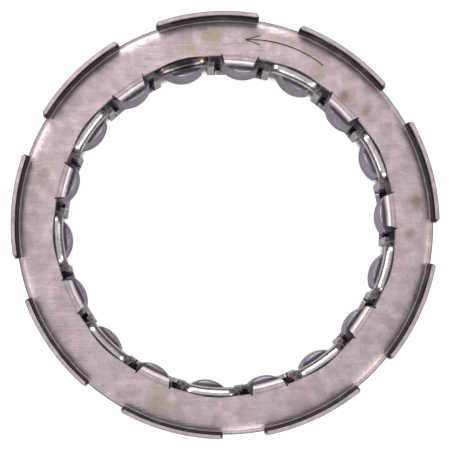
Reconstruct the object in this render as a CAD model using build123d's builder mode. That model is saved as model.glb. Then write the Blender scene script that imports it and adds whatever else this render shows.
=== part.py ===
from build123d import *
from math import asin, cos, degrees, radians, sin, sqrt
import os

# Caged one-way clutch (sprag clutch) with a flanged front plate.
# Millimetres. The origin is on the axis, in the plane of the rear face, and +Z points
# from the rear face towards the flange plate. Angles are counted from +X towards +Y.

os.makedirs("parts", exist_ok=True)

# ---------------------------------------------------------------- driving dimensions
# The races that the clutch runs between (they are not part of it)
race_inner_radius = 28.88
sprag_space = 8.33  # between the races

# Layout round the axis
sprag_count = 18
first_short_angle = 5.0  # a sprag whose front end is closed by a tab of the plate

# Clearances
seat_gap = 0.3  # pieces that lie close to each other but do not touch
cage_to_race = 0.21  # radial, outer cage to outer race
free_reach = 0.18  # how far a free sprag reaches inside the inner race

# Flange plate
plate_thickness = 0.7
hood_in_view = 1.52  # how much of a hood shows inside the plate's hole
lip_overhang = 1.64  # the lips stand this far past the outer race's bore
gap_inset = 0.6  # the rim between two lips, inside the lips' outer face
lip_height = 3.7  # above the front face
lip_bend = 0.9
lip_gap_width = 7.5  # at the root of the lips
lip_gap_flare = 0.55  # each side wider at the top
arch_radius = 16.0  # shallow arches in the hole, one at each hood
arch_depth = 0.35
tab_root_width = 6.4
tab_tip_width = 5.3
tab_root_overlap = 1.0
tab_bend = 0.85

# Inner cage
inner_cage_to_race = 0.82  # radial, from the face towards the axis
inner_cage_sheet = 0.8
inner_cage_flange_width = 2.2  # the hoods turn outwards by this much
hood_bend = 1.3
post_width = 1.25
hood_end_cut = 0.9  # how far a hood is cut back at each end
window_corner = 0.7

# Outer cage
outer_cage_sheet = 0.8
outer_cage_flange_width = 3.4  # both ends of the wall turn inwards by this much
outer_cage_bend = 1.0
outer_window_width = 7.2

# Sprags
sprag_length = 11.0
sprag_outer_cam = 4.4
sprag_inner_cam = 5.2
strut_lean = 0.6  # each cam centre lies this far to its own side of the centre line
inner_arc_nose = 3.6  # half widths of the inner cam, from the sprag's centre line
inner_arc_heel = 3.9
outer_arc_half_angle = 58.0
waist_narrow_side = 2.5
waist_wide_side = 3.2
shoulder_height = 2.0  # the back of the nose, below the outer cam's centre
shoulder_width = 3.75
sprag_edge = 0.35

# Ribbon spring
ribbon_height = 4.22  # above the inner race
ribbon_sheet = 0.26
ribbon_window_width = 7.4
ribbon_bow = 0.8
ribbon_front_rail = 0.9
ribbon_rear_rail = 0.6

# ---------------------------------------------------------------- worked out from them
pitch = 360 / sprag_count
race_outer_radius = race_inner_radius + sprag_space
inner_cage_radius = race_inner_radius + inner_cage_to_race
ribbon_radius = race_inner_radius + ribbon_height
plate_hole_radius = inner_cage_radius + hood_in_view
lip_outer_radius = race_outer_radius + lip_overhang
plate_gap_radius = lip_outer_radius - gap_inset
outer_cage_radius = race_outer_radius - cage_to_race
outer_cage_flange_radius = outer_cage_radius - outer_cage_flange_width
inner_cage_flange_radius = inner_cage_radius + inner_cage_flange_width
sprag_rear = outer_cage_sheet + ribbon_rear_rail + 2 * seat_gap
sprag_front = sprag_rear + sprag_length
window_rear = sprag_rear - seat_gap
window_front = sprag_front + seat_gap
plate_underside = window_front + ribbon_front_rail + seat_gap + outer_cage_sheet
body_width = plate_underside + plate_thickness
inner_cage_rear = seat_gap
inner_cage_front = plate_underside - seat_gap
short_angles = [first_short_angle + 2 * pitch * n for n in range(sprag_count // 2)]
long_angles = [angle + pitch for angle in short_angles]

outer_cam_centre = race_outer_radius - 0.01 - sprag_outer_cam
inner_cam_centre = race_inner_radius - free_reach + sprag_inner_cam
outer_cam_offset = degrees(asin(strut_lean / outer_cam_centre))
inner_window_width = 2 * inner_cage_radius * sin(radians(pitch / 2)) - post_width


def radial_plane(angle, distance):
    """A plane facing away from the axis: its x runs round the ring and its y is +Z."""
    outward = Vector(cos(radians(angle)), sin(radians(angle)), 0)
    around = Vector(-sin(radians(angle)), cos(radians(angle)), 0)
    return Plane(origin=outward * distance, x_dir=around, z_dir=outward)


def spoke_plane(angle, height):
    """A level plane whose x points away from the axis at the given angle."""
    outward = Vector(cos(radians(angle)), sin(radians(angle)), 0)
    return Plane(origin=(0, 0, height), x_dir=outward, z_dir=(0, 0, 1))


# ---------------------------------------------------------------- flange plate
# One tab: it runs inwards from the plate, bends down and closes the front of a window.
tab_leg_end = window_front
with BuildPart() as tab:
    with BuildSketch(Plane.XZ) as tab_profile:
        with BuildLine():
            FilletPolyline(
                (plate_hole_radius + tab_root_overlap, body_width),
                (inner_cage_radius, body_width),
                (inner_cage_radius, tab_leg_end),
                radius=tab_bend,
            )
            offset(amount=plate_thickness, side=Side.LEFT)
        make_face()
    extrude(amount=tab_root_width, both=True)
    with BuildSketch(Plane.XY.offset(tab_leg_end - seat_gap)) as tab_outline:
        with BuildLine():
            Polyline(
                (inner_cage_radius - plate_thickness, -tab_tip_width / 2),
                (inner_cage_radius + plate_thickness, -tab_tip_width / 2),
                (plate_hole_radius, -tab_root_width / 2),
                (plate_hole_radius + tab_root_overlap, -tab_root_width / 2),
                (plate_hole_radius + tab_root_overlap, tab_root_width / 2),
                (plate_hole_radius, tab_root_width / 2),
                (inner_cage_radius + plate_thickness, tab_tip_width / 2),
                (inner_cage_radius - plate_thickness, tab_tip_width / 2),
                close=True,
            )
        make_face()
    extrude(amount=body_width, mode=Mode.INTERSECT)

with BuildPart() as flange_plate:
    with BuildSketch(Plane.XZ) as rim_profile:
        with BuildLine():
            FilletPolyline(
                (plate_hole_radius, plate_underside),
                (lip_outer_radius, plate_underside),
                (lip_outer_radius, body_width + lip_height),
                radius=lip_bend,
            )
            offset(amount=plate_thickness, side=Side.LEFT)
        make_face()
    revolve(axis=Axis.Z)
    # shallow arches in the hole, over the hoods of the inner cage
    arch_centre = plate_hole_radius + arch_depth - arch_radius
    with BuildSketch(*[spoke_plane(angle, plate_underside) for angle in long_angles]) as arches:
        with Locations((arch_centre, 0)):
            Circle(arch_radius)
    extrude(amount=plate_thickness, mode=Mode.SUBTRACT)
    # gaps that part the raised rim into lips, with slanted ends
    gap_angles = [angle + 1.5 * pitch for angle in short_angles]
    with BuildSketch(*[radial_plane(angle, plate_gap_radius) for angle in gap_angles]) as gaps:
        with BuildLine():
            Polyline(
                (-lip_gap_width / 2, 0),
                (lip_gap_width / 2, 0),
                (lip_gap_width / 2, body_width),
                (lip_gap_width / 2 + lip_gap_flare, body_width + lip_height + seat_gap),
                (-lip_gap_width / 2 - lip_gap_flare, body_width + lip_height + seat_gap),
                (-lip_gap_width / 2, body_width),
                close=True,
            )
        make_face()
    extrude(amount=lip_outer_radius, mode=Mode.SUBTRACT)
    with BuildSketch(
        *[radial_plane(angle, plate_gap_radius - 2 * plate_thickness) for angle in gap_angles]
    ) as gap_floors:
        with BuildLine():
            Polyline(
                (-lip_gap_width / 2, body_width),
                (lip_gap_width / 2, body_width),
                (lip_gap_width / 2 + lip_gap_flare, body_width + lip_height + seat_gap),
                (-lip_gap_width / 2 - lip_gap_flare, body_width + lip_height + seat_gap),
                close=True,
            )
        make_face()
    extrude(amount=lip_outer_radius, mode=Mode.SUBTRACT)
    with PolarLocations(0, sprag_count // 2, start_angle=first_short_angle):
        add(tab.part)

flange_plate.part.label = "flange_plate"
export_step(flange_plate.part, "parts/flange_plate.step")

# ---------------------------------------------------------------- outer cage
# A C-shaped ring of sheet. Its wall has one window for each sprag's outer end.
with BuildPart() as outer_cage:
    with BuildSketch(Plane.XZ) as channel_profile:
        with BuildLine():
            FilletPolyline(
                (outer_cage_flange_radius, plate_underside),
                (outer_cage_radius, plate_underside),
                (outer_cage_radius, 0),
                (outer_cage_flange_radius, 0),
                radius=outer_cage_bend,
            )
            offset(amount=outer_cage_sheet, side=Side.RIGHT)
        make_face()
    revolve(axis=Axis.Z)
    outer_window_angles = [
        first_short_angle + outer_cam_offset + pitch * n for n in range(sprag_count)
    ]
    with BuildSketch(
        *[radial_plane(angle, outer_cage_flange_radius) for angle in outer_window_angles]
    ) as outer_windows:
        with Locations((0, (window_front + window_rear) / 2)):
            Rectangle(outer_window_width, window_front - window_rear)
    extrude(amount=race_outer_radius - outer_cage_flange_radius, mode=Mode.SUBTRACT)

outer_cage.part.label = "outer_cage"
export_step(outer_cage.part, "parts/outer_cage.step")

# ---------------------------------------------------------------- inner cage
# A serpentine ring: posts joined in pairs by rounded hoods, at the front over every
# second sprag and at the rear over the others, with each window open at the far end.
open_half = inner_window_width / 2
flare_half = open_half + hood_end_cut
with BuildPart() as inner_cage:
    with BuildSketch(Plane.XZ) as cage_profile:
        with BuildLine():
            FilletPolyline(
                (inner_cage_flange_radius, inner_cage_front),
                (inner_cage_radius, inner_cage_front),
                (inner_cage_radius, inner_cage_rear),
                (inner_cage_flange_radius, inner_cage_rear),
                radius=hood_bend,
            )
            offset(amount=inner_cage_sheet, side=Side.LEFT)
        make_face()
    revolve(axis=Axis.Z)
    cut_start = inner_cage_radius - inner_cage_sheet
    cut_depth = inner_cage_flange_radius - cut_start + inner_cage_sheet
    with BuildSketch(*[radial_plane(angle, cut_start) for angle in short_angles]) as front_open:
        with BuildLine():
            Polyline(
                (-open_half, window_rear),
                (open_half, window_rear),
                (open_half, window_front - hood_end_cut),
                (flare_half, window_front + hood_end_cut),
                (flare_half, body_width),
                (-flare_half, body_width),
                (-flare_half, window_front + hood_end_cut),
                (-open_half, window_front - hood_end_cut),
                close=True,
            )
        make_face()
        fillet(front_open.vertices().group_by(Axis.Z)[0], window_corner)
    extrude(amount=cut_depth, mode=Mode.SUBTRACT)
    with BuildSketch(*[radial_plane(angle, cut_start) for angle in long_angles]) as rear_open:
        with BuildLine():
            Polyline(
                (-open_half, window_front),
                (open_half, window_front),
                (open_half, window_rear + hood_end_cut),
                (flare_half, window_rear - hood_end_cut),
                (flare_half, -body_width),
                (-flare_half, -body_width),
                (-flare_half, window_rear - hood_end_cut),
                (-open_half, window_rear + hood_end_cut),
                close=True,
            )
        make_face()
        fillet(rear_open.vertices().group_by(Axis.Z)[-1], window_corner)
    extrude(amount=cut_depth, mode=Mode.SUBTRACT)

inner_cage.part.label = "inner_cage"
export_step(inner_cage.part, "parts/inner_cage.step")

# ---------------------------------------------------------------- ribbon spring
# A thin strip between the cages: two rails joined by bowed bars that lie in the waists
# of the sprags, with a window for each sprag.
ribbon_inner = ribbon_radius - ribbon_sheet / 2
ribbon_outer = ribbon_radius + ribbon_sheet / 2
rear_rail_low = window_rear - ribbon_rear_rail
front_rail_high = window_front + ribbon_front_rail
window_half_angle = degrees(asin(ribbon_window_width / 2 / ribbon_radius))
bar_half_angle = pitch / 2 - window_half_angle


def ribbon_point(angle, radius):
    """A point of the ribbon's bowed bar, from its angle and radius."""
    return (radius * cos(radians(angle)), radius * sin(radians(angle)))


with BuildPart() as ribbon_spring:
    with BuildSketch(Plane.XY.offset(rear_rail_low)) as rails:
        Circle(ribbon_outer)
        Circle(ribbon_inner, mode=Mode.SUBTRACT)
    extrude(amount=front_rail_high - rear_rail_low)
    with BuildSketch(Plane.XY.offset(window_rear)) as between_rails:
        Circle(ribbon_outer + ribbon_sheet)
        Circle(ribbon_inner - ribbon_sheet, mode=Mode.SUBTRACT)
    extrude(amount=window_front - window_rear, mode=Mode.SUBTRACT)
    bar_angles = [angle + pitch / 2 for angle in outer_window_angles]
    with BuildSketch(
        *[spoke_plane(angle, window_rear - ribbon_sheet) for angle in bar_angles]
    ) as bars:
        with BuildLine():
            ThreePointArc(
                ribbon_point(-bar_half_angle, ribbon_outer),
                (ribbon_outer + ribbon_bow, 0),
                ribbon_point(bar_half_angle, ribbon_outer),
            )
            Line(
                ribbon_point(bar_half_angle, ribbon_outer),
                ribbon_point(bar_half_angle, ribbon_inner),
            )
            ThreePointArc(
                ribbon_point(bar_half_angle, ribbon_inner),
                (ribbon_inner + ribbon_bow, 0),
                ribbon_point(-bar_half_angle, ribbon_inner),
            )
            Line(
                ribbon_point(-bar_half_angle, ribbon_inner),
                ribbon_point(-bar_half_angle, ribbon_outer),
            )
        make_face()
    extrude(amount=window_front - window_rear + 2 * ribbon_sheet)

ribbon_spring.part.label = "ribbon_spring"
export_step(ribbon_spring.part, "parts/ribbon_spring.step")


# ---------------------------------------------------------------- sprags
def cam_width_to_height(half_width, radius):
    """Height of a cam's arc below its centre, at a distance from its own centre line."""
    return sqrt(radius**2 - half_width**2)


inner_cam_x = sqrt(inner_cam_centre**2 - strut_lean**2)
outer_cam_x = sqrt(outer_cam_centre**2 - strut_lean**2)
nose = (
    inner_cam_x - cam_width_to_height(inner_arc_nose - strut_lean, sprag_inner_cam),
    -inner_arc_nose,
)
heel = (
    inner_cam_x - cam_width_to_height(inner_arc_heel + strut_lean, sprag_inner_cam),
    inner_arc_heel,
)
inner_tip = (inner_cam_x - sprag_inner_cam, -strut_lean)
outer_tip = (outer_cam_x + sprag_outer_cam, strut_lean)
outer_rise = sprag_outer_cam * cos(radians(outer_arc_half_angle))
outer_reach = sprag_outer_cam * sin(radians(outer_arc_half_angle))
outer_left = (outer_cam_x + outer_rise, strut_lean + outer_reach)
outer_right = (outer_cam_x + outer_rise, strut_lean - outer_reach)
shoulder = (outer_cam_x - shoulder_height, -shoulder_width)

for number in range(sprag_count):
    sprag_angle = first_short_angle + pitch * number
    with BuildPart() as sprag:
        with BuildSketch(spoke_plane(sprag_angle, sprag_rear)) as cam_profile:
            with BuildLine():
                ThreePointArc(nose, inner_tip, heel)
                ThreePointArc(heel, (outer_cam_x + sprag_edge, waist_wide_side), outer_left)
                ThreePointArc(outer_left, outer_tip, outer_right)
                ThreePointArc(outer_right, (outer_cam_x, -waist_narrow_side), shoulder)
                Line(shoulder, nose)
            make_face()
            fillet(cam_profile.vertices(), sprag_edge)
        extrude(amount=sprag_length)
    sprag_name = f"sprag_{number + 1:02d}"
    sprag.part.label = sprag_name
    export_step(sprag.part, f"parts/{sprag_name}.step")
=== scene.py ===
"""Studio scene of a caged one-way clutch with a flanged front plate.

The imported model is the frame. Every visible piece is rebuilt here as a fine mesh in the
same place, in metres, and rides on the body of the node that it stands for.
"""

import logging
import math
from dataclasses import dataclass
from enum import Enum

import bmesh
import bpy
import numpy as np
from mathutils import Matrix, Vector


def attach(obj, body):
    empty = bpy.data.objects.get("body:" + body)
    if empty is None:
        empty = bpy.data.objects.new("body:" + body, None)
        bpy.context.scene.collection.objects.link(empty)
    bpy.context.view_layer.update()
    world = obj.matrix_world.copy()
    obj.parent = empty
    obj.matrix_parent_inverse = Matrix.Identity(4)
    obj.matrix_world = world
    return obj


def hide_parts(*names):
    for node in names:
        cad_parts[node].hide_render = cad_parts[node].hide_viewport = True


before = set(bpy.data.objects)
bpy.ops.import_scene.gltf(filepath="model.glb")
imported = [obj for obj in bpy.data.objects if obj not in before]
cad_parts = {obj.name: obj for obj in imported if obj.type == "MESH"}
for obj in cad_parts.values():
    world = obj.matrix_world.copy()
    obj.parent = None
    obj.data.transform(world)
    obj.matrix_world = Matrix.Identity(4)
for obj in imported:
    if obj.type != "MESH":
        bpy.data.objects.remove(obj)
LOG = logging.getLogger("clutch")
MM = 0.001
ROOT_BODY = "outer_cage_and_flange"
SHARP_ANGLE = 30.0  # degrees, on pieces whose edges are not rounded


class Slot(Enum):
    """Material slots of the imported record."""

    PLATE = "plate_steel"
    OUTER_CAGE = "cage_steel"
    INNER_CAGE = "bright_cage_steel"
    SPRING = "spring_steel"
    SPRAG = "sprag_steel"


@dataclass(frozen=True)
class Layout:
    """Sizes shared by several pieces, in millimetres and degrees."""

    sprag_count: int = 18
    first_short: float = 5.0
    plate_front: float = 16.0
    plate_back: float = 15.3
    window_front: float = 13.3
    window_rear: float = 1.7
    cam_offset: float = 1.048

    @property
    def pitch(self) -> float:
        """Angle between two sprags."""
        return 360.0 / self.sprag_count

    @property
    def pairs(self) -> int:
        """Number of short and long sprag pairs."""
        return self.sprag_count // 2


LAYOUT = Layout()


# ------------------------------------------------------------------ mesh tools
def arc_at(centre: tuple, radius: float, angles) -> np.ndarray:
    """Points on a circle at given angles.

    Args:
        centre: the circle's centre, (r, z).
        radius: its radius.
        angles: in degrees, from +r towards +z.

    Returns:
        An array with one point for each angle.
    """
    turn = np.radians(angles)
    return np.stack([centre[0] + radius * np.cos(turn), centre[1] + radius * np.sin(turn)], 1)


def arc(centre: tuple, radius: float, start: float, end: float, steps: int) -> np.ndarray:
    """Points on a circular arc.

    Args:
        centre: the arc's centre, (r, z).
        radius: its radius.
        start: first angle in degrees, from +r towards +z.
        end: last angle in degrees.
        steps: number of spans.

    Returns:
        An array of steps + 1 points.
    """
    return arc_at(centre, radius, np.linspace(start, end, steps + 1))


def arc_through(first: tuple, middle: tuple, last: tuple, steps: int) -> np.ndarray:
    """Points of the circular arc through three points, without the last one.

    The centre is where the perpendicular bisectors of the two chords cross, and the
    angles are unwrapped so that the arc passes through the middle point.

    Args:
        first: where the arc starts.
        middle: a point that it passes.
        last: where it ends.
        steps: number of spans.

    Returns:
        An array of as many points as spans.
    """
    p, q, s = (np.array(v, float) for v in (first, middle, last))
    sides = 2 * np.stack([q - p, s - q])
    centre = np.linalg.solve(sides, np.array([q @ q - p @ p, s @ s - q @ q]))
    angles = np.unwrap([math.atan2(*(v - centre)[::-1]) for v in (p, q, s)])
    turn = np.linspace(angles[0], angles[2], steps + 1)[:-1]
    radius = np.linalg.norm(p - centre)
    return centre + radius * np.stack([np.cos(turn), np.sin(turn)], 1)


def ring_angles(edges: list, counts: list, sector: float, sectors: int) -> np.ndarray:
    """Angles of a ring's grid, spread evenly between edges that may move from row to row.

    Args:
        edges: arrays of one angle per row; the last is the first plus the sector.
        counts: number of columns between each two edges.
        sector: the repeated angle, in degrees.
        sectors: how often it is repeated.

    Returns:
        Angles in degrees, of shape (rows, columns).
    """
    parts = [
        low[:, None] + (high - low)[:, None] * np.arange(n) / n
        for low, high, n in zip(edges[:-1], edges[1:], counts)
    ]
    one = np.concatenate(parts, axis=1)
    return np.concatenate([one + sector * k for k in range(sectors)], axis=1)


def ring_mask(spans: list, counts: list, sectors: int) -> np.ndarray:
    """The cells of a ring's grid that exist.

    Args:
        spans: one column of booleans for each span of a sector.
        counts: number of columns in each span.
        sectors: how often the sector is repeated.

    Returns:
        Booleans of shape (rows - 1, columns).
    """
    one = np.concatenate([np.repeat(s[:, None], n, axis=1) for s, n in zip(spans, counts)], axis=1)
    return np.tile(one, (1, sectors))


def to_space(radius: np.ndarray, angle: np.ndarray, height: np.ndarray) -> np.ndarray:
    """Cylinder coordinates in millimetres and degrees to points in metres.

    Args:
        radius: distance from the axis.
        angle: round the axis, from +X.
        height: along the axis; it is spread over the shape of the other two.

    Returns:
        Points in metres, with x, y and z in a last dimension.
    """
    turn = np.radians(angle)
    height = np.broadcast_to(height, np.broadcast(radius, angle).shape)
    return np.stack([radius * np.cos(turn), radius * np.sin(turn), height], -1) * MM


def ring_sheet(front: np.ndarray, back: np.ndarray, kept: np.ndarray) -> tuple:
    """A closed sheet with holes, from its two faces as wrapped grids.

    Each kept cell gives one quad on either face, and each side of it that meets no other
    kept cell gives a wall through the sheet.

    Args:
        front: points of one face, (rows, columns, 3).
        back: points of the other face.
        kept: which cells exist, (rows - 1, columns).

    Returns:
        Points and quads, with the unused points left out.
    """
    rows, columns = front.shape[:2]
    total = rows * columns
    index = np.arange(total).reshape(rows, columns)
    beside = np.roll(index, -1, axis=1)
    corner = [index[:-1], beside[:-1], beside[1:], index[1:]]
    empty_row = np.zeros((1, columns), bool)
    below = np.concatenate([empty_row, kept[:-1]])
    above = np.concatenate([kept[1:], empty_row])
    open_sides = [
        kept & ~below,
        kept & ~np.roll(kept, -1, axis=1),
        kept & ~above,
        kept & ~np.roll(kept, 1, axis=1),
    ]
    quads = np.stack([c[kept] for c in corner], 1)
    faces = [quads, quads[:, ::-1] + total]
    for side, is_open in enumerate(open_sides):
        start, end = corner[side][is_open], corner[(side + 1) % 4][is_open]
        faces.append(np.stack([end, start, start + total, end + total], 1))
    faces = np.concatenate(faces)
    used, faces = np.unique(faces, return_inverse=True)
    points = np.concatenate([front.reshape(-1, 3), back.reshape(-1, 3)])[used]
    return points, faces.reshape(-1, 4)


def swept_bar(line: np.ndarray, width: float, low: float, high: float) -> tuple:
    """A flat bar along a line on a level face, of one width, from one height to another.

    Args:
        line: points along the middle, in millimetres, (n, 2).
        width: across the bar.
        low: height of its lower face.
        high: height of its upper face.

    Returns:
        Points in metres, and faces.
    """
    along = np.gradient(line, axis=0)
    along /= np.linalg.norm(along, axis=1, keepdims=True)
    across = np.stack([-along[:, 1], along[:, 0]], 1) * width / 2
    n = len(line)
    left, right = line + across, line - across
    rings = [np.column_stack([p, np.full(n, z)]) for z in (low, high) for p in (right, left)]
    points = np.stack([rings[0], rings[1], rings[3], rings[2]], 1).reshape(-1, 3) * MM
    base = np.arange(n - 1)[:, None] * 4
    faces = []
    for side in range(4):
        beside = (side + 1) % 4
        faces += np.hstack([base + side, base + beside, base + 4 + beside, base + 4 + side]).tolist()
    faces += [[3, 2, 1, 0], [4 * n - 4, 4 * n - 3, 4 * n - 2, 4 * n - 1]]
    return points, faces


@dataclass(frozen=True)
class Edges:
    """How the edges of a piece are rounded, in millimetres and degrees."""

    width: float = 0.09
    segments: int = 3
    sharper_than: float = 32.0


def make_piece(name: str, points: np.ndarray, faces, edges: Edges | None) -> bpy.types.Object:
    """An object at the origin, smooth between its sharp edges, which are rounded.

    Args:
        name: the object's name.
        points: vertex positions in metres.
        faces: vertex numbers of each face.
        edges: the rounding, or None to leave the edges as they are.

    Returns:
        The new object.
    """
    mesh = bpy.data.meshes.new(name)
    mesh.from_pydata(np.asarray(points).tolist(), [], [list(map(int, f)) for f in faces])
    shell = bmesh.new()
    shell.from_mesh(mesh)
    bmesh.ops.recalc_face_normals(shell, faces=shell.faces)
    shell.to_mesh(mesh)
    shell.free()
    mesh.polygons.foreach_set("use_smooth", np.ones(len(mesh.polygons), bool))
    sharp = edges.sharper_than if edges else SHARP_ANGLE
    mesh.set_sharp_from_angle(angle=math.radians(sharp))
    piece = bpy.data.objects.new(name, mesh)
    bpy.context.scene.collection.objects.link(piece)
    if edges:
        rounding = piece.modifiers.new("rounded_edges", "BEVEL")
        rounding.width = edges.width * MM
        rounding.segments = edges.segments
        rounding.limit_method = "ANGLE"
        rounding.angle_limit = math.radians(edges.sharper_than)
        rounding.harden_normals = True
    return piece


# ------------------------------------------------------------------ finishes
# Spots of real discolouring, and spots of painted reflection.
@dataclass(frozen=True)
class ColourSpot:
    """A soft patch of another colour round a point, in millimetres."""

    centre: tuple
    radius: float
    colour: tuple
    strength: float


@dataclass(frozen=True)
class PaintedShading:
    """A band of painted shade or painted highlight on the faces between two radii and two
    heights, in millimetres.

    Its colour stands in for the shade in a recess or under a part, or for the highlight on
    a bend. With sectors, it lies only where the cosine of the angle from the phase, times
    their number, is above a level.
    """

    radii: tuple
    heights: tuple
    colour: tuple
    strength: float
    sectors: float = 0.0
    phase: float = 0.0
    level: float = -1.0


class Wiring:
    """Short ways to add and link the nodes of one material."""

    noise_roughness = 0.6

    def __init__(self, material: bpy.types.Material) -> None:
        """Starts with the object coordinates.

        Args:
            material: a material that uses nodes.
        """
        self.tree = material.node_tree
        self.place = self.tree.nodes.new("ShaderNodeTexCoord").outputs["Object"]

    def join(self, value, socket: bpy.types.NodeSocket) -> None:
        """Gives a socket its value.

        Args:
            value: an output to link, a number, or a colour as (r, g, b).
            socket: the input.
        """
        if isinstance(value, bpy.types.NodeSocket):
            self.tree.links.new(value, socket)
        elif isinstance(value, tuple):
            socket.default_value = (*value, 1.0)
        else:
            socket.default_value = value

    def noise(self, scale: float, detail: float, vector=None) -> bpy.types.NodeSocket:
        """Fractal noise about 0.5.

        Args:
            scale: waves per metre.
            detail: number of octaves.
            vector: where it is read, or None for the object coordinates.

        Returns:
            The value.
        """
        node = self.tree.nodes.new("ShaderNodeTexNoise")
        node.inputs["Scale"].default_value = scale
        node.inputs["Detail"].default_value = detail
        node.inputs["Roughness"].default_value = self.noise_roughness
        self.join(self.place if vector is None else vector, node.inputs["Vector"])
        return node.outputs["Fac"]

    def spread(self, value, low: float, high: float, to_low: float, to_high: float):
        """Carries a value smoothly from one span to another.

        Args:
            value: the value.
            low: where the span starts.
            high: where it ends.
            to_low: the result at its start, and before.
            to_high: the result at its end, and after.

        Returns:
            The result.
        """
        node = self.tree.nodes.new("ShaderNodeMapRange")
        node.interpolation_type = "SMOOTHSTEP"
        self.join(value, node.inputs["Value"])
        self.join(low, node.inputs["From Min"])
        self.join(high, node.inputs["From Max"])
        self.join(to_low, node.inputs["To Min"])
        self.join(to_high, node.inputs["To Max"])
        return node.outputs["Result"]

    def mix(self, factor, first, second) -> bpy.types.NodeSocket:
        """Mixes two colours.

        Args:
            factor: share of the second.
            first: a colour or an output.
            second: a colour or an output.

        Returns:
            The mixed colour.
        """
        node = self.tree.nodes.new("ShaderNodeMix")
        node.data_type = "RGBA"
        self.join(factor, node.inputs["Factor"])
        self.join(first, node.inputs[6])
        self.join(second, node.inputs[7])
        return node.outputs[2]

    def maths(self, operation: str, *values) -> bpy.types.NodeSocket:
        """Works out one sum.

        Args:
            operation: its name in the maths node.
            values: its numbers or outputs.

        Returns:
            The result.
        """
        node = self.tree.nodes.new("ShaderNodeMath")
        node.operation = operation
        for value, socket in zip(values, node.inputs):
            self.join(value, socket)
        return node.outputs[0]

    def away(self, point: tuple) -> bpy.types.NodeSocket:
        """Distance from a point.

        Args:
            point: the point, in metres.

        Returns:
            The distance.
        """
        node = self.tree.nodes.new("ShaderNodeVectorMath")
        node.operation = "DISTANCE"
        node.inputs[1].default_value = point
        self.join(self.place, node.inputs[0])
        return node.outputs["Value"]

    def round_axis(self) -> tuple:
        """Cylinder coordinates about the Z axis.

        Returns:
            The radius, the angle and the height.
        """
        split = self.tree.nodes.new("ShaderNodeSeparateXYZ")
        self.join(self.place, split.inputs[0])
        x, y, height = split.outputs
        squares = self.maths("ADD", self.maths("MULTIPLY", x, x), self.maths("MULTIPLY", y, y))
        return self.maths("SQRT", squares), self.maths("ARCTAN2", y, x), height


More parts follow.
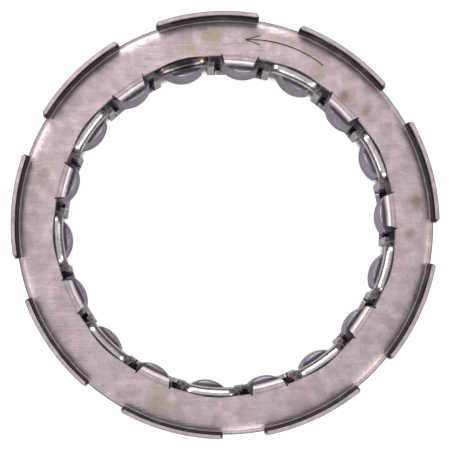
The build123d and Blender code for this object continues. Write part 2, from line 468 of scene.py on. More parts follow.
@dataclass(frozen=True)
class SteelFinish:
    """Satin or polished steel with mottling, drawn streaks, stains and painted light and shade."""

    name: str
    base: tuple
    mottle: tuple
    roughness: float
    roughness_spread: float = 0.12
    patch_size: float = 7.0
    grain_depth: float = 0.3
    speck_size: float = 1.7
    speck_depth: float = 0.25
    streak_turn: float = 35.0
    streak_depth: float = 0.25
    grain_bump: float = 0.012
    stains_and_reflections: tuple = ()
    painted_shading: tuple = ()

    streak_scale = 3200.0
    streak_stretch = 0.06
    streak_roughness = 0.12
    streak_relief = 1.4
    grain_scale = 2600.0
    bump_strength = 0.6
    dark_share = 0.62
    pale_share = 1.2
    spot_edge_scale = 620.0
    shading_edge = 0.12

    def streaks(self, wires: Wiring) -> bpy.types.NodeSocket:
        """Noise drawn out along one direction.

        Args:
            wires: the material's nodes.

        Returns:
            Its value.
        """
        stretch = wires.tree.nodes.new("ShaderNodeMapping")
        stretch.inputs["Rotation"].default_value = (0.0, 0.0, math.radians(self.streak_turn))
        stretch.inputs["Scale"].default_value = (self.streak_stretch, 1.0, 1.0)
        wires.join(wires.place, stretch.inputs["Vector"])
        return wires.noise(self.streak_scale, 3.0, stretch.outputs["Vector"])

    def steel(self, wires: Wiring, patches, streaks, grain) -> bpy.types.NodeSocket:
        """Colour of the bare steel.

        Args:
            wires: the material's nodes.
            patches: noise of the mottling.
            streaks: noise of the drawn streaks.
            grain: noise of the grain.

        Returns:
            The colour.
        """
        darker = tuple(self.dark_share * c for c in self.base)
        paler = tuple(min(1.0, self.pale_share * c) for c in self.base)
        specks = wires.noise(1000.0 / self.speck_size, 6.0)
        colour = wires.mix(wires.spread(patches, 0.43, 0.6, 0.0, 1.0), self.base, self.mottle)
        for value, low, high, depth, other in (
            (streaks, 0.52, 0.8, self.streak_depth, darker),
            (grain, 0.56, 0.72, self.grain_depth, darker),
            (specks, 0.51, 0.64, self.speck_depth, darker),
            (specks, 0.47, 0.36, self.speck_depth, paler),
        ):
            colour = wires.mix(wires.spread(value, low, high, 0.0, depth), colour, other)
        return colour

    def spotted(self, wires: Wiring, colour) -> bpy.types.NodeSocket:
        """Lays the spots of real discolouring and of painted reflection over a colour, with ragged
        edges.

        Args:
            wires: the material's nodes.
            colour: the colour under them.

        Returns:
            The colour with the stains.
        """
        ragged = wires.noise(self.spot_edge_scale, 4.0)
        for spot in self.stains_and_reflections:
            size = spot.radius * MM
            away = wires.away(tuple(c * MM for c in spot.centre))
            reach = wires.maths("ADD", away, wires.maths("MULTIPLY", ragged, size))
            inside = wires.spread(reach, 0.55 * size, 1.45 * size, spot.strength, 0.0)
            colour = wires.mix(inside, colour, spot.colour)
        return colour

    def with_painted_shading(self, wires: Wiring, colour, patches) -> tuple:
        """Lays the bands of painted shade and highlight over a colour, thinner where the mottling
        is.

        Args:
            wires: the material's nodes.
            colour: the colour under them.
            patches: noise of the mottling.

        Returns:
            The colour with the painted bands, and the share of bare metal.
        """
        radius, angle, height = wires.round_axis()
        soft = self.shading_edge * MM
        bare = 1.0
        for band in self.painted_shading:
            inside = wires.spread(patches, 0.25, 0.5, 0.75, 1.0)
            for value, (low, high) in ((radius, band.radii), (height, band.heights)):
                above = wires.spread(value, low * MM - soft, low * MM + soft, 0.0, 1.0)
                below = wires.spread(value, high * MM - soft, high * MM + soft, 1.0, 0.0)
                inside = wires.maths("MULTIPLY", inside, wires.maths("MULTIPLY", above, below))
            if band.sectors:
                turned = wires.maths("SUBTRACT", angle, math.radians(band.phase))
                wave = wires.maths("COSINE", wires.maths("MULTIPLY", turned, band.sectors))
                shown = wires.spread(wave, band.level, band.level + 0.06, 0.0, 1.0)
                inside = wires.maths("MULTIPLY", inside, shown)
            covered = wires.maths("MULTIPLY", inside, band.strength)
            colour = wires.mix(covered, colour, band.colour)
            bare = wires.maths("MULTIPLY", bare, wires.maths("SUBTRACT", 1.0, covered))
        return colour, bare

    def build(self) -> bpy.types.Material:
        """Makes the material's nodes, all on object coordinates.

        Returns:
            The material.
        """
        material = bpy.data.materials.new(self.name)
        material.use_nodes = True
        wires = Wiring(material)
        shader = wires.tree.nodes["Principled BSDF"]
        patches = wires.noise(1000.0 / self.patch_size, 5.0)
        streaks = self.streaks(wires)
        grain = wires.noise(self.grain_scale, 3.0)
        colour = self.steel(wires, patches, streaks, grain)
        if self.stains_and_reflections:
            colour = self.spotted(wires, colour)
        bare = 1.0
        if self.painted_shading:
            colour, bare = self.with_painted_shading(wires, colour, patches)
        rough_end = self.roughness + self.roughness_spread
        rough = wires.spread(patches, 0.3, 0.7, self.roughness, rough_end)
        scuffed = wires.spread(streaks, 0.4, 0.8, 0.0, self.streak_roughness)
        wires.join(colour, shader.inputs["Base Color"])
        wires.join(bare, shader.inputs["Metallic"])
        wires.join(0.0, shader.inputs["Specular IOR Level"])
        wires.join(wires.maths("ADD", rough, scuffed), shader.inputs["Roughness"])
        bump = wires.tree.nodes.new("ShaderNodeBump")
        bump.inputs["Strength"].default_value = self.bump_strength
        bump.inputs["Distance"].default_value = self.grain_bump * MM
        drawn = wires.maths("MULTIPLY", streaks, self.streak_relief)
        wires.join(wires.maths("ADD", grain, drawn), bump.inputs["Height"])
        wires.join(bump.outputs["Normal"], shader.inputs["Normal"])
        return material


OLIVE = (0.43, 0.375, 0.25)
RUST = (0.27, 0.17, 0.12)
DULL = (0.36, 0.32, 0.28)
PLATE_FINISH = SteelFinish(
    "satin_plate_steel",
    base=(0.65, 0.55, 0.575),
    mottle=(0.52, 0.43, 0.45),
    roughness=0.31,
    patch_size=4.5,
    speck_size=2.2,
    speck_depth=0.5,
    grain_depth=0.7,
    grain_bump=0.035,
    painted_shading=(
        # painted shade: black on the lips' inner faces
        PaintedShading((37.66, 38.5), (15.5, 19.1), (0.022, 0.019, 0.022), 0.98, 9.0, 15.0, -0.655),
        # painted shade low on the rim's bend and the lips' roots
        PaintedShading((37.9, 38.5), (15.2, 16.3), (0.09, 0.075, 0.08), 0.6),
        # painted shade along the edge of the hole
        PaintedShading((31.0, 31.42), (15.5, 16.2), (0.1, 0.085, 0.09), 0.45),
        # painted highlight on the tabs' bends
        PaintedShading((29.82, 30.3), (15.3, 16.2), (0.95, 0.89, 0.92), 0.75),
        # painted shade at the top of the tabs' bends
        PaintedShading((30.42, 30.58), (15.7, 16.2), (0.12, 0.1, 0.11), 0.6),
        # darker band on the outer corner of the lips' tops
        PaintedShading((38.66, 39.2), (19.3, 19.9), (0.16, 0.14, 0.15), 0.7),
    ),
    stains_and_reflections=(
        ColourSpot((-2.6, 34.6, 16.0), 3.2, OLIVE, 0.8),
        ColourSpot((-6.3, 32.6, 16.0), 2.6, OLIVE, 0.75),
        ColourSpot((5.6, 35.0, 16.0), 2.2, DULL, 0.6),
        ColourSpot((17.5, 28.2, 16.0), 2.4, (0.36, 0.33, 0.25), 0.6),
        ColourSpot((-12.2, -32.0, 16.0), 3.6, OLIVE, 0.7),
        ColourSpot((22.0, 23.7, 16.0), 2.2, RUST, 0.7),
        ColourSpot((25.9, 20.9, 16.0), 2.0, RUST, 0.6),
        ColourSpot((35.2, 4.5, 16.0), 2.3, RUST, 0.65),
        ColourSpot((33.7, -1.7, 16.0), 1.8, RUST, 0.6),
        ColourSpot((-33.5, 9.0, 16.0), 2.6, RUST, 0.4),
    ),
)
OUTER_CAGE_FINISH = SteelFinish(
    "drawn_cage_steel", base=(0.56, 0.52, 0.53), mottle=(0.44, 0.41, 0.42), roughness=0.34
)
INNER_CAGE_FINISH = SteelFinish(
    "bright_cage_steel",
    base=(0.82, 0.74, 0.76),
    mottle=(0.66, 0.59, 0.61),
    roughness=0.21,
    roughness_spread=0.06,
    streak_depth=0.1,
    grain_bump=0.0015,
    stains_and_reflections=(
        ColourSpot((-7.9, 29.6, 14.6), 7.6, (0.02, 0.016, 0.016), 0.97),
        # painted reflections: two bronze spots on the black hood
        ColourSpot((-10.6, 28.8, 14.2), 1.1, (0.62, 0.36, 0.18), 0.9),
        ColourSpot((-4.3, 30.4, 14.4), 1.0, (0.6, 0.36, 0.2), 0.85),
    ),
    painted_shading=(
        # painted shade on the hoods' flanges, under the plate's edge
        PaintedShading((31.15, 32.0), (14.6, 15.2), (0.03, 0.026, 0.03), 0.95),
        # painted shade low on the hoods, above the sprags
        PaintedShading((29.0, 32.0), (12.9, 13.75), (0.06, 0.05, 0.06), 0.6),
    ),
)
SPRING_FINISH = SteelFinish(
    "blued_spring_steel", base=(0.40, 0.38, 0.40), mottle=(0.30, 0.29, 0.31), roughness=0.28
)
SPRAG_FINISH = SteelFinish(
    "ground_sprag_steel",
    base=(0.46, 0.41, 0.51),
    mottle=(0.35, 0.31, 0.39),
    roughness=0.24,
    roughness_spread=0.07,
    patch_size=4.0,
    streak_depth=0.12,
    grain_bump=0.004,
    # painted shade on the sprags' front ends, under the hoods
    painted_shading=(PaintedShading((29.2, 34.0), (12.86, 13.2), (0.04, 0.035, 0.045), 0.85),),
)
ENGRAVED_FINISH = SteelFinish(
    "engraved_line", base=(0.13, 0.11, 0.11), mottle=(0.07, 0.06, 0.06), roughness=0.55
)


# ------------------------------------------------------------------ pieces
class Piece:
    """A visible piece: it is built once, painted, and rides on one body."""

    def place(
        self,
        piece: bpy.types.Object,
        body: str,
        slot: Slot,
        finish: bpy.types.Material,
        node: str | None,
    ) -> bpy.types.Object:
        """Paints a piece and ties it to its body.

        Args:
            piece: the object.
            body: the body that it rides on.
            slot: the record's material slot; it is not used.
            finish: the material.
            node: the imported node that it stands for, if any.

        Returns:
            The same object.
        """
        piece.data.materials.append(finish)
        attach(piece, body)
        if node:
            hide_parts(node)
        return piece


@dataclass(frozen=True)
class FlangePlate(Piece):
    """The stamped front plate: tabs at its hole and nine raised lips at its rim.

    One sheet runs from the end of a tab's leg, round its bend and across the plate to the
    top of a lip. The front face turns with radius 0.85 into the tabs and 0.2 into the
    lips, and it is a little lower beside the lips. The rows inside the hole exist only in
    the tabs, and those past the rim only in the lips.
    """

    hole: float = 31.22
    tab_face: float = 29.7
    tab_bend: float = 0.85
    tab_root: float = 3.2
    tab_tip: float = 2.65
    slit: float = 0.26
    slit_depth: float = 0.36
    lip_face: float = 38.15
    lip_outside: float = 38.85
    lip_bend: float = 0.9
    lip_top: float = 19.7
    gap_half: float = 3.75
    gap_flare: float = 0.55
    arch_radius: float = 16.0
    arch_depth: float = 0.35
    step_depth: float = 0.07
    flat_rows: tuple = (33.2, 34.6, 36.0)
    step_rows: tuple = (37.25, 37.4, 37.7)
    gap_measured_at: float = 38.4
    rim_turns: tuple = (-90, -70.5, -55, -40, -26, -13, 0)
    columns: tuple = (2, 7, 1, 16, 8, 1)
    edges: Edges = Edges(width=0.1)

    def paths(self) -> tuple:
        """The sheet's profile from the end of a tab's leg to the top of a lip.

        Returns:
            The front face and the back face, as rows of (r, z), then the row at the hole
            and the row at which the rim's bend starts.
        """
        top, under = LAYOUT.plate_front, LAYOUT.plate_back
        thick = top - under
        bend_r = self.tab_face + self.tab_bend
        bend_z = top - self.tab_bend
        leg_z = np.linspace(LAYOUT.window_front, bend_z, 5)[:-1]
        leg = np.stack([np.full_like(leg_z, self.tab_face), leg_z], 1)
        tab_arc = arc((bend_r, bend_z), self.tab_bend, 180, 90, 7)
        tab_arc_back = arc((bend_r, bend_z), self.tab_bend - thick, 180, 90, 7)
        radii = [bend_r + 0.3, self.hole, self.hole + self.slit_depth, *self.flat_rows]
        outside, *lowered = self.step_rows
        level = [(r, top) for r in (*radii, outside)]
        flat = np.array(level + [(r, top - self.step_depth) for r in lowered])
        flat_back = np.stack([flat[:, 0], np.full(len(flat), under)], 1)
        rim_r, rim_z = self.lip_outside - self.lip_bend, under + self.lip_bend
        rim = arc_at((rim_r, rim_z), self.lip_bend - thick, self.rim_turns)
        rim_back = arc_at((rim_r, rim_z), self.lip_bend, self.rim_turns)
        lip_z = np.linspace(rim_z, self.lip_top, 6)[1:]
        lip = np.stack([np.full_like(lip_z, self.lip_face), lip_z], 1)
        front = np.concatenate([leg, tab_arc, flat, rim, lip])
        back = np.concatenate(
            [leg + (thick, 0), tab_arc_back, flat_back, rim_back, lip + (thick, 0)]
        )
        flat_from = len(leg) + len(tab_arc)
        return front, back, flat_from + 1, flat_from + len(flat) + 1

    def turns(self, radius: np.ndarray, height: np.ndarray, in_tab: np.ndarray) -> np.ndarray:
        """Angles of one face's grid.

        Args:
            radius: the radius of each row.
            height: its share of the way from the plate up to the top of a lip.
            in_tab: which rows lie inside the hole.

        Returns:
            Angles in degrees, of shape (rows, columns).
        """
        reach = np.clip((radius - self.tab_face) / (self.hole - self.tab_face), 0, 1)
        half = self.tab_tip + (self.tab_root - self.tab_tip) * reach
        root = math.degrees(math.asin(self.tab_root / self.hole))
        tab = np.where(in_tab, np.degrees(np.arctan(half / radius)), root)
        slit = math.degrees(self.slit / self.hole)
        gap_half = self.gap_half + self.gap_flare * height
        gap = np.degrees(np.arcsin(gap_half / self.gap_measured_at))
        short = LAYOUT.first_short
        sector = 2 * LAYOUT.pitch
        left = short - tab
        edges = [
            left,
            short - LAYOUT.pitch / 2 + gap,
            short + tab,
            short + tab + slit,
            short + 1.5 * LAYOUT.pitch - gap,
            left + sector - slit,
            left + sector,
        ]
        return ring_angles(edges, self.columns, sector, LAYOUT.pairs)

    def radii(self, path: np.ndarray, turn: np.ndarray, hole_row: int) -> np.ndarray:
        """Radius at each point of one face's grid.

        The tabs are flat across, and the hole's edge is cut out by an arch between them.

        Args:
            path: the face's profile.
            turn: its angles in degrees.
            hole_row: the row at the hole.

        Returns:
            Radii in millimetres, of the angles' shape.
        """
        row = np.arange(len(path))[:, None]
        off_tab = (turn - LAYOUT.first_short + LAYOUT.pitch) % (2 * LAYOUT.pitch) - LAYOUT.pitch
        radius = np.repeat(path[:, :1], turn.shape[1], axis=1)
        radius = np.where(row < hole_row, radius / np.cos(np.radians(off_tab)), radius)
        off_arch = np.radians(LAYOUT.pitch - np.abs(off_tab))
        middle = self.hole + self.arch_depth - self.arch_radius
        inside = self.arch_radius**2 - (middle * np.sin(off_arch)) ** 2
        arch = middle * np.cos(off_arch) + np.sqrt(np.maximum(inside, 0))
        return np.where(row == hole_row, np.maximum(radius, arch), radius)

    def build(self, finish: bpy.types.Material) -> bpy.types.Object:
        """Makes the plate as one wrapped grid.

        Args:
            finish: its material.

        Returns:
            The plate.
        """
        front, back, hole_row, rim_row = self.paths()
        top = LAYOUT.plate_front
        height = np.clip((front[:, 1] - top) / (self.lip_top - top), 0, 1)
        in_tab = np.arange(len(front)) < hole_row
        faces = []
        for path in (front, back):
            turn = self.turns(path[:, 0], height, in_tab)
            faces.append(to_space(self.radii(path, turn, hole_row), turn, path[:, 1:]))
        cell = np.arange(len(front) - 1)
        tabs = cell < hole_row
        slits = cell == hole_row
        lips = cell >= rim_row
        spans = [
            ~lips,
            np.ones_like(lips),
            ~tabs & ~slits,
            ~tabs,
            ~tabs & ~lips,
            ~tabs & ~lips & ~slits,
        ]
        kept = ring_mask(spans, self.columns, LAYOUT.pairs)
        points, quads = ring_sheet(faces[0], faces[1], kept)
        piece = make_piece("flange_plate_sheet", points, quads, self.edges)
        return self.place(piece, ROOT_BODY, Slot.PLATE, finish, "flange_plate")


def window_edge(height: np.ndarray, half: float, corner: float, low: float, high: float):
    """Half width of a window with rounded corners at each height.

    Past the window's ends it stays at the half width less the corner's radius.

    Args:
        height: heights of the rows.
        half: the window's half width.
        corner: radius of its corners.
        low: height of its lower end.
        high: height of its upper end.

    Returns:
        One half width for each row.
    """
    past = np.maximum(np.maximum(low + corner - height, height - high + corner), 0)
    past = np.minimum(past, corner)
    return half - corner + np.sqrt(corner**2 - past**2)


@dataclass(frozen=True)
class OuterCage(Piece):
    """A C-shaped ring of sheet whose wall has a rounded window for each sprag."""

    radius: float = 37.0
    sheet: float = 0.8
    flange: float = 33.6
    bend: float = 1.0
    window_half: float = 3.6
    corner: float = 0.7
    flange_row: float = 34.8
    wall_rows: tuple = (10.0, 7.5, 5.0)
    columns: tuple = (10, 6)
    edges: Edges = Edges(width=0.08)

    def build(self, finish: bpy.types.Material) -> bpy.types.Object:
        """Makes the cage from its channel profile.

        Args:
            finish: the material.

        Returns:
            The cage.
        """
        top = LAYOUT.plate_back
        inner = self.bend - self.sheet
        centre_r = self.radius - self.bend
        low, high = LAYOUT.window_rear, LAYOUT.window_front
        edge = self.corner * (1 - np.cos(np.radians(np.linspace(0, 90, 6))))
        heights = np.concatenate([high - edge, self.wall_rows, low + edge[::-1]])
        wall = np.stack([np.full_like(heights, self.radius), heights], 1)
        flange = np.array([(self.flange, top), (self.flange_row, top)])
        front = np.concatenate(
            [
                flange,
                arc((centre_r, top - self.bend), self.bend, 90, 0, 8),
                wall,
                arc((centre_r, self.bend), self.bend, 0, -90, 8),
                (flange * (1, 0))[::-1],
            ]
        )
        back = np.concatenate(
            [
                flange - (0, self.sheet),
                arc((centre_r, top - self.bend), inner, 90, 0, 8),
                wall - (self.sheet, 0),
                arc((centre_r, self.bend), inner, 0, -90, 8),
                (flange * (1, 0) + (0, self.sheet))[::-1],
            ]
        )
        half = window_edge(front[:, 1], self.window_half, self.corner, low, high)
        centre = LAYOUT.first_short + LAYOUT.cam_offset

        def face(path: np.ndarray) -> np.ndarray:
            turn = np.degrees(np.arcsin(half / path[:, 0]))
            edges = [centre - turn, centre + turn, centre - turn + LAYOUT.pitch]
            angle = ring_angles(edges, self.columns, LAYOUT.pitch, LAYOUT.sprag_count)
            return to_space(path[:, :1], angle, path[:, 1:])

        middle = (front[:-1, 1] + front[1:, 1]) / 2
        closed = (middle > high) | (middle < low)
        kept = ring_mask([closed, np.ones_like(closed)], self.columns, LAYOUT.sprag_count)
        points, quads = ring_sheet(face(front), face(back), kept)
        piece = make_piece("outer_cage_ring", points, quads, self.edges)
        return self.place(piece, ROOT_BODY, Slot.OUTER_CAGE, finish, "outer_cage")


@dataclass(frozen=True)
class InnerCage(Piece):
    """A serpentine ring: posts joined by hoods, in turn at the front and at the rear."""

    radius: float = 29.7
    sheet: float = 0.8
    flange: float = 31.9
    bend: float = 1.3
    front: float = 15.0
    rear: float = 0.3
    window_half: float = 4.532
    end_cut: float = 0.9
    corner: float = 0.7
    shoulder_start: float = 6.0
    shoulder_end: float = 10.4
    shoulder_drop: float = 2.1
    shoulder_rise: float = 1.2
    flange_flat: float = 0.4
    wall_rows: tuple = (12.4, 11.0, 9.0, 7.5, 6.0, 4.0, 2.6)
    columns: tuple = (14, 3, 14, 3)
    edges: Edges = Edges()

    def half_widths(self, height: np.ndarray, closed: float, opened: float, way: int):
        """Half width of one kind of window at each height.

        Args:
            height: heights of the rows.
            closed: height of the window's closed end.
            opened: height about which its sides spread at the open end.
            way: 1 if it opens towards the front, -1 towards the rear.

        Returns:
            One half width for each row.
        """
        low, high = (closed, math.inf) if way > 0 else (-math.inf, closed)
        rounded = window_edge(height, self.window_half, self.corner, low, high)
        past = np.clip(way * (height - opened) / self.end_cut, -1, 1)
        return rounded + self.end_cut * (past + 1) / 2

    def build(self, finish: bpy.types.Material) -> bpy.types.Object:
        """Makes the cage from its profile and the two kinds of window.

        Args:
            finish: the material.

        Returns:
            The cage.
        """
        inner = self.bend - self.sheet
        centre_r = self.radius + self.bend
        low, high = LAYOUT.window_rear, LAYOUT.window_front
        edge = self.corner * (1 - np.cos(np.radians(np.linspace(0, 90, 6))))
        heights = np.concatenate([high - edge, self.wall_rows, low + edge[::-1]])
        wall = np.stack([np.full_like(heights, self.radius), heights], 1)
        flat = np.array([(self.flange, 0.0), (self.flange - self.flange_flat, 0.0)])
        front = np.concatenate(
            [
                flat + (0, self.front),
                arc((centre_r, self.front - self.bend), self.bend, 90, 180, 10),
                wall,
                arc((centre_r, self.rear + self.bend), self.bend, 180, 270, 10),
                flat[::-1] + (0, self.rear),
            ]
        )
        back = np.concatenate(
            [
                flat + (0, self.front - self.sheet),
                arc((centre_r, self.front - self.bend), inner, 90, 180, 10),
                wall + (self.sheet, 0),
                arc((centre_r, self.rear + self.bend), inner, 180, 270, 10),
                flat[::-1] + (0, self.rear + self.sheet),
            ]
        )
        short_half = self.half_widths(front[:, 1], low, high, 1)
        long_half = self.half_widths(front[:, 1], high, low, -1)
        short = LAYOUT.first_short

        def face(path: np.ndarray) -> np.ndarray:
            near = np.degrees(np.arcsin(short_half / path[:, 0]))
            far = np.degrees(np.arcsin(long_half / path[:, 0]))
            edges = [
                short - near,
                short + near,
                short + LAYOUT.pitch - far,
                short + LAYOUT.pitch + far,
                short + 2 * LAYOUT.pitch - near,
            ]
            angle = ring_angles(edges, self.columns, 2 * LAYOUT.pitch, LAYOUT.pairs)
            from_short = (angle - short + LAYOUT.pitch) % (2 * LAYOUT.pitch) - LAYOUT.pitch
            height = path[:, 1:] + np.zeros_like(angle)
            for side, off in ((1, LAYOUT.pitch - np.abs(from_short)), (-1, np.abs(from_short))):
                past = (off - self.shoulder_start) / (self.shoulder_end - self.shoulder_start)
                end = high if side > 0 else low
                reach = np.clip(side * (front[:, 1:] - end) / self.shoulder_rise, 0, 1)
                height -= side * self.shoulder_drop * np.clip(past, 0, 1) ** 2 * reach
            return to_space(path[:, :1], angle, height)

        middle = (front[:-1, 1] + front[1:, 1]) / 2
        post = np.ones_like(middle, bool)
        kept = ring_mask([middle < low, post, middle > high, post], self.columns, LAYOUT.pairs)
        points, quads = ring_sheet(face(front), face(back), kept)
        piece = make_piece("inner_cage_ring", points, quads, self.edges)
        return self.place(piece, "inner_cage", Slot.INNER_CAGE, finish, "inner_cage")


@dataclass(frozen=True)
class RibbonSpring(Piece):
    """A thin strip with a window for each sprag and bowed bars between them."""

    radius: float = 33.1
    sheet: float = 0.26
    window_half: float = 3.7
    bow: float = 0.8
    rear_end: float = 1.1
    front_end: float = 14.2
    ramp: float = 0.6
    ramp_row: float = 0.25
    bar_rows: tuple = (4.5, 7.5, 10.5)
    columns: tuple = (8, 10)
    edges: Edges = Edges(width=0.05, segments=2)

    def build(self, finish: bpy.types.Material) -> bpy.types.Object:
        """Makes the strip; a bar bows out as 1 - t squared across its width.

        Args:
            finish: the material.

        Returns:
            The ribbon.
        """
        low, high = LAYOUT.window_rear, LAYOUT.window_front
        rear = [self.rear_end, low, low + self.ramp_row, low + self.ramp]
        front = [high - self.ramp, high - self.ramp_row, high, self.front_end]
        heights = np.concatenate([rear, self.bar_rows, front])
        rise = np.clip(np.minimum(heights - low, high - heights) / self.ramp, 0, 1)
        rise = rise * rise * (3 - 2 * rise)
        centre = LAYOUT.first_short + LAYOUT.cam_offset
        half = np.full_like(heights, math.degrees(math.asin(self.window_half / self.radius)))
        edges = [centre - half, centre + half, centre - half + LAYOUT.pitch]
        angle = ring_angles(edges, self.columns, LAYOUT.pitch, LAYOUT.sprag_count)
        off = (angle - centre) % LAYOUT.pitch - LAYOUT.pitch / 2
        across = np.clip(np.abs(off) / (LAYOUT.pitch / 2 - half[0]), 0, 1)
        middle = self.radius + self.bow * rise[:, None] * (1 - across**2)
        faces = [
            to_space(middle + side * self.sheet / 2, angle, heights[:, None]) for side in (-1, 1)
        ]
        level = (heights[:-1] + heights[1:]) / 2
        rail = (level < low) | (level > high)
        kept = ring_mask([rail, np.ones_like(rail)], self.columns, LAYOUT.sprag_count)
        points, quads = ring_sheet(faces[0], faces[1], kept)
        piece = make_piece("ribbon_spring_strip", points, quads, self.edges)
        return self.place(piece, ROOT_BODY, Slot.SPRING, finish, "ribbon_spring")


@dataclass(frozen=True)
class Sprags(Piece):
    """The eighteen struts that wedge between the races.

    The outline is an inner cam arc from nose to heel, a hollow waist, an outer cam arc
    and a second waist down to the shoulder behind the nose.
    """

    outer_cam: float = 4.4
    inner_cam: float = 5.2
    outer_centre: float = 32.8
    inner_centre: float = 33.9
    lean: float = 0.6
    nose: float = 3.6
    heel: float = 3.9
    outer_half_angle: float = 58.0
    narrow_waist: float = 2.5
    wide_waist: float = 3.2
    shoulder_drop: float = 2.0
    shoulder_width: float = 3.75
    wide_waist_rise: float = 0.35
    rear: float = 2.0
    front: float = 13.0
    edges: Edges = Edges(width=0.26, segments=4, sharper_than=24.0)

    def outline(self) -> np.ndarray:
        """The closed outline, drawn as if the sprag stood at the angle 0.

        Returns:
            Points as (outwards, round the ring), in millimetres.
        """
        inner_x = math.sqrt(self.inner_centre**2 - self.lean**2)
        outer_x = math.sqrt(self.outer_centre**2 - self.lean**2)
        drop_nose = math.sqrt(self.inner_cam**2 - (self.nose - self.lean) ** 2)
        drop_heel = math.sqrt(self.inner_cam**2 - (self.heel + self.lean) ** 2)
        nose = (inner_x - drop_nose, -self.nose)
        heel = (inner_x - drop_heel, self.heel)
        rise = self.outer_cam * math.cos(math.radians(self.outer_half_angle))
        reach = self.outer_cam * math.sin(math.radians(self.outer_half_angle))
        left = (outer_x + rise, self.lean + reach)
        right = (outer_x + rise, self.lean - reach)
        shoulder = (outer_x - self.shoulder_drop, -self.shoulder_width)
        return np.concatenate(
            [
                arc_through(nose, (inner_x - self.inner_cam, -self.lean), heel, 16),
                arc_through(heel, (outer_x + self.wide_waist_rise, self.wide_waist), left, 10),
                arc_through(left, (outer_x + self.outer_cam, self.lean), right, 18),
                arc_through(right, (outer_x, -self.narrow_waist), shoulder, 10),
                np.array([shoulder, (np.array(shoulder) + nose) / 2]),
            ]
        )

    def build(self, finish: bpy.types.Material) -> list:
        """Makes each sprag as its outline drawn out along the axis, ends rounded.

        Args:
            finish: the material.

        Returns:
            The sprags.
        """
        outline = self.outline()
        count = len(outline)
        ring = np.arange(count)
        after = np.roll(ring, -1)
        sides = np.stack([ring, after, after + count, ring + count], 1).tolist()
        faces = sides + [ring[::-1].tolist(), (ring + count).tolist()]
        made = []
        for number in range(LAYOUT.sprag_count):
            turn = math.radians(LAYOUT.first_short + LAYOUT.pitch * number)
            spin = np.array([[math.cos(turn), math.sin(turn)], [-math.sin(turn), math.cos(turn)]])
            flat = outline @ spin
            points = np.concatenate(
                [np.column_stack([flat, np.full(count, z)]) for z in (self.rear, self.front)]
            )
            node = f"sprag_{number + 1:02d}"
            piece = make_piece(f"{node}_strut", points * MM, faces, self.edges)
            made.append(self.place(piece, node, Slot.SPRAG, finish, node))
        return made


@dataclass(frozen=True)
class DirectionArrow(Piece):
    """The thin arrow that tells the driving direction: a bent shaft and two barbs.

    They are dark bars that stand a little proud of the plate. Each is one layer lower than
    the one before, so that no two tops lie in one plane.
    """

    tail: tuple = (58.5, 34.5)
    bow: tuple = (71.4, 34.95)
    tip: tuple = (83.8, 34.35)
    upper_barb: tuple = (6.5, 34.95)
    lower_barb: tuple = (6.4, 33.2)
    width: float = 0.26
    barb_width: float = 0.2
    proud: float = 0.012
    sunk: float = 0.05
    layer: float = 0.002

    def build(self, finish: bpy.types.Material) -> list:
        """Makes the shaft, whose radius is a parabola of its angle, and the barbs.

        Args:
            finish: the material.

        Returns:
            The three bars.
        """
        angle = np.linspace(self.tail[0], self.tip[0], 40)
        known = np.array([self.tail, self.bow, self.tip])
        radius = np.polyval(np.polyfit(known[:, 0], known[:, 1], 2), angle)
        turn = np.radians(angle)
        shaft = np.stack([radius * np.cos(turn), radius * np.sin(turn)], 1)
        lines = {"shaft": (shaft, self.width)}
        for name, end in (("upper", self.upper_barb), ("lower", self.lower_barb)):
            lines[name] = (np.linspace(shaft[-1], end, 6), self.barb_width)
        low, high = LAYOUT.plate_front - self.sunk, LAYOUT.plate_front + self.proud
        made = []
        for name, (line, width) in lines.items():
            points, faces = swept_bar(line, width, low, high)
            piece = make_piece(f"direction_arrow_{name}", points, faces, None)
            made.append(self.place(piece, ROOT_BODY, Slot.PLATE, finish, None))
            low, high = low - self.layer, high - self.layer
        return made


# ------------------------------------------------------------------ studio
@dataclass(frozen=True)
class Softbox:
    """A rectangular lamp aimed at the object; places in metres."""

    name: str
    place: tuple
    size: tuple
    watts: float
    colour: tuple = (1.0, 1.0, 1.0)


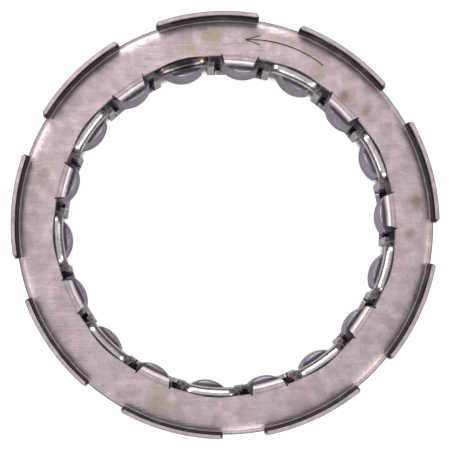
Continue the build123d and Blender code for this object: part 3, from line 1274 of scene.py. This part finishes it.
class Studio:
    """Floor, surroundings, lamps and camera; places and sizes in metres, angles in degrees."""

    floor_half = 3.0
    floor_shade = 0.55
    floor_glow = 0.72
    # radii where the glow fades: the ring between them is painted shade under the object
    glow_ends = ((0.0303, 0.0310), (0.0388, 0.0378))
    softboxes = (
        Softbox("top_softbox", (-0.10, 0.42, 0.48), (0.50, 0.34), 2.0, (1.0, 0.97, 0.97)),
        Softbox("left_softbox", (-0.48, 0.05, 0.44), (0.40, 0.30), 1.6),
        Softbox("right_softbox", (0.46, -0.16, 0.44), (0.40, 0.30), 1.3, (1.0, 0.96, 0.95)),
        Softbox("low_softbox", (0.05, -0.46, 0.42), (0.50, 0.30), 1.6),
    )
    room_stops = ((0.0, 0.04), (0.35, 0.07), (0.75, 0.28), (1.0, 0.62))
    room_tint = 0.985
    camera_tilt = 3.7
    camera_side = -109.0
    camera_distance = 0.326
    seen_width = 0.0814
    sensor_width = 36.0
    aim = (-0.00012, -0.00027, 0.0197)

    def floor(self) -> bpy.types.Object:
        """Makes the plain pale floor at the object's rear face.

        For the camera it also glows, which whitens it, except in the ring that the object
        covers: the glow fades out between the two pairs of radii. The ring left without glow
        is painted shade under the object, so the floor seen through its gaps looks dark.

        Returns:
            The floor.
        """
        half = self.floor_half
        corners = [(-half, -half, 0), (half, -half, 0), (half, half, 0), (-half, half, 0)]
        mesh = bpy.data.meshes.new("studio_floor")
        mesh.from_pydata(corners, [], [(0, 1, 2, 3)])
        piece = bpy.data.objects.new("studio_floor", mesh)
        bpy.context.scene.collection.objects.link(piece)
        material = bpy.data.materials.new("pale_floor")
        material.use_nodes = True
        material.node_tree.nodes.clear()
        wires = Wiring(material)
        nodes = wires.tree.nodes
        pale = nodes.new("ShaderNodeBsdfDiffuse")
        wires.join((self.floor_shade,) * 3, pale.inputs["Color"])
        # no glow in the ring under the object: painted shade there
        distance = wires.away((0.0, 0.0, 0.0))
        covered = []
        for bare, full in self.glow_ends:
            edge = nodes.new("ShaderNodeMapRange")
            wires.join(distance, edge.inputs["Value"])
            wires.join(bare, edge.inputs["From Min"])
            wires.join(full, edge.inputs["From Max"])
            covered.append(edge.outputs["Result"])
        beside = wires.maths("SUBTRACT", 1.0, wires.maths("MULTIPLY", *covered))
        glow = nodes.new("ShaderNodeEmission")
        wires.join(wires.maths("MULTIPLY", beside, self.floor_glow), glow.inputs["Strength"])
        lifted = nodes.new("ShaderNodeAddShader")
        wires.join(pale.outputs[0], lifted.inputs[0])
        wires.join(glow.outputs[0], lifted.inputs[1])
        choose = nodes.new("ShaderNodeMixShader")
        wires.join(nodes.new("ShaderNodeLightPath").outputs["Is Camera Ray"], choose.inputs["Fac"])
        wires.join(pale.outputs[0], choose.inputs[1])
        wires.join(lifted.outputs[0], choose.inputs[2])
        wires.join(choose.outputs[0], nodes.new("ShaderNodeOutputMaterial").inputs["Surface"])
        mesh.materials.append(material)
        return piece

    def surroundings(self) -> None:
        """White for the camera; for the steel, a room that is brighter overhead."""
        world = bpy.data.worlds.new("studio_world")
        bpy.context.scene.world = world
        world.use_nodes = True
        tree = world.node_tree
        tree.nodes.clear()
        where = tree.nodes.new("ShaderNodeTexCoord").outputs["Generated"]
        split = tree.nodes.new("ShaderNodeSeparateXYZ")
        tree.links.new(where, split.inputs[0])
        ramp = tree.nodes.new("ShaderNodeValToRGB")
        while len(ramp.color_ramp.elements) < len(self.room_stops):
            ramp.color_ramp.elements.new(0.5)
        for element, (position, shade) in zip(ramp.color_ramp.elements, self.room_stops):
            element.position = position
            element.color = (shade, shade * self.room_tint, shade * self.room_tint, 1.0)
        tree.links.new(split.outputs["Z"], ramp.inputs["Fac"])
        room = tree.nodes.new("ShaderNodeBackground")
        tree.links.new(ramp.outputs["Color"], room.inputs["Color"])
        white = tree.nodes.new("ShaderNodeBackground")
        white.inputs["Color"].default_value = (1.0, 1.0, 1.0, 1.0)
        ray = tree.nodes.new("ShaderNodeLightPath")
        choose = tree.nodes.new("ShaderNodeMixShader")
        tree.links.new(ray.outputs["Is Camera Ray"], choose.inputs["Fac"])
        tree.links.new(room.outputs[0], choose.inputs[1])
        tree.links.new(white.outputs[0], choose.inputs[2])
        output = tree.nodes.new("ShaderNodeOutputWorld")
        tree.links.new(choose.outputs[0], output.inputs["Surface"])

    def lamps(self) -> None:
        """Adds the softboxes, each turned towards the object."""
        for box in self.softboxes:
            lamp = bpy.data.lights.new(box.name, "AREA")
            lamp.shape = "RECTANGLE"
            lamp.size, lamp.size_y = box.size
            lamp.energy = box.watts
            lamp.color = box.colour
            holder = bpy.data.objects.new(box.name, lamp)
            bpy.context.scene.collection.objects.link(holder)
            holder.location = box.place
            holder.rotation_euler = (-Vector(box.place)).to_track_quat("-Z", "Y").to_euler()

    def camera(self) -> None:
        """Looks almost straight down on the front plate, with +Y up in the picture."""
        tilt, side = math.radians(self.camera_tilt), math.radians(self.camera_side)
        back = Vector(
            (
                math.sin(tilt) * math.cos(side),
                math.sin(tilt) * math.sin(side),
                math.cos(tilt),
            )
        )
        right = Vector((0, 1, 0)).cross(back).normalized()
        up = back.cross(right)
        turn = Matrix((right, up, back)).transposed().to_4x4()
        data = bpy.data.cameras.new("studio_camera")
        data.sensor_width = self.sensor_width
        data.lens = data.sensor_width * self.camera_distance / self.seen_width
        data.clip_start, data.clip_end = 0.01, 20.0
        holder = bpy.data.objects.new("studio_camera", data)
        bpy.context.scene.collection.objects.link(holder)
        place = Vector(self.aim) + back * self.camera_distance
        holder.matrix_world = Matrix.Translation(place) @ turn
        bpy.context.scene.camera = holder

    def build(self) -> None:
        """Sets up the whole studio."""
        self.floor()
        self.surroundings()
        self.lamps()
        self.camera()
        scene = bpy.context.scene
        scene.view_settings.view_transform = "Standard"
        scene.view_settings.look = "None"


def main() -> None:
    """Builds the studio and every piece, in order."""
    logging.basicConfig(level=logging.INFO)
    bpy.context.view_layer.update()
    Studio().build()
    FlangePlate().build(PLATE_FINISH.build())
    OuterCage().build(OUTER_CAGE_FINISH.build())
    InnerCage().build(INNER_CAGE_FINISH.build())
    RibbonSpring().build(SPRING_FINISH.build())
    Sprags().build(SPRAG_FINISH.build())
    DirectionArrow().build(ENGRAVED_FINISH.build())


if __name__ == "__main__":
    main()
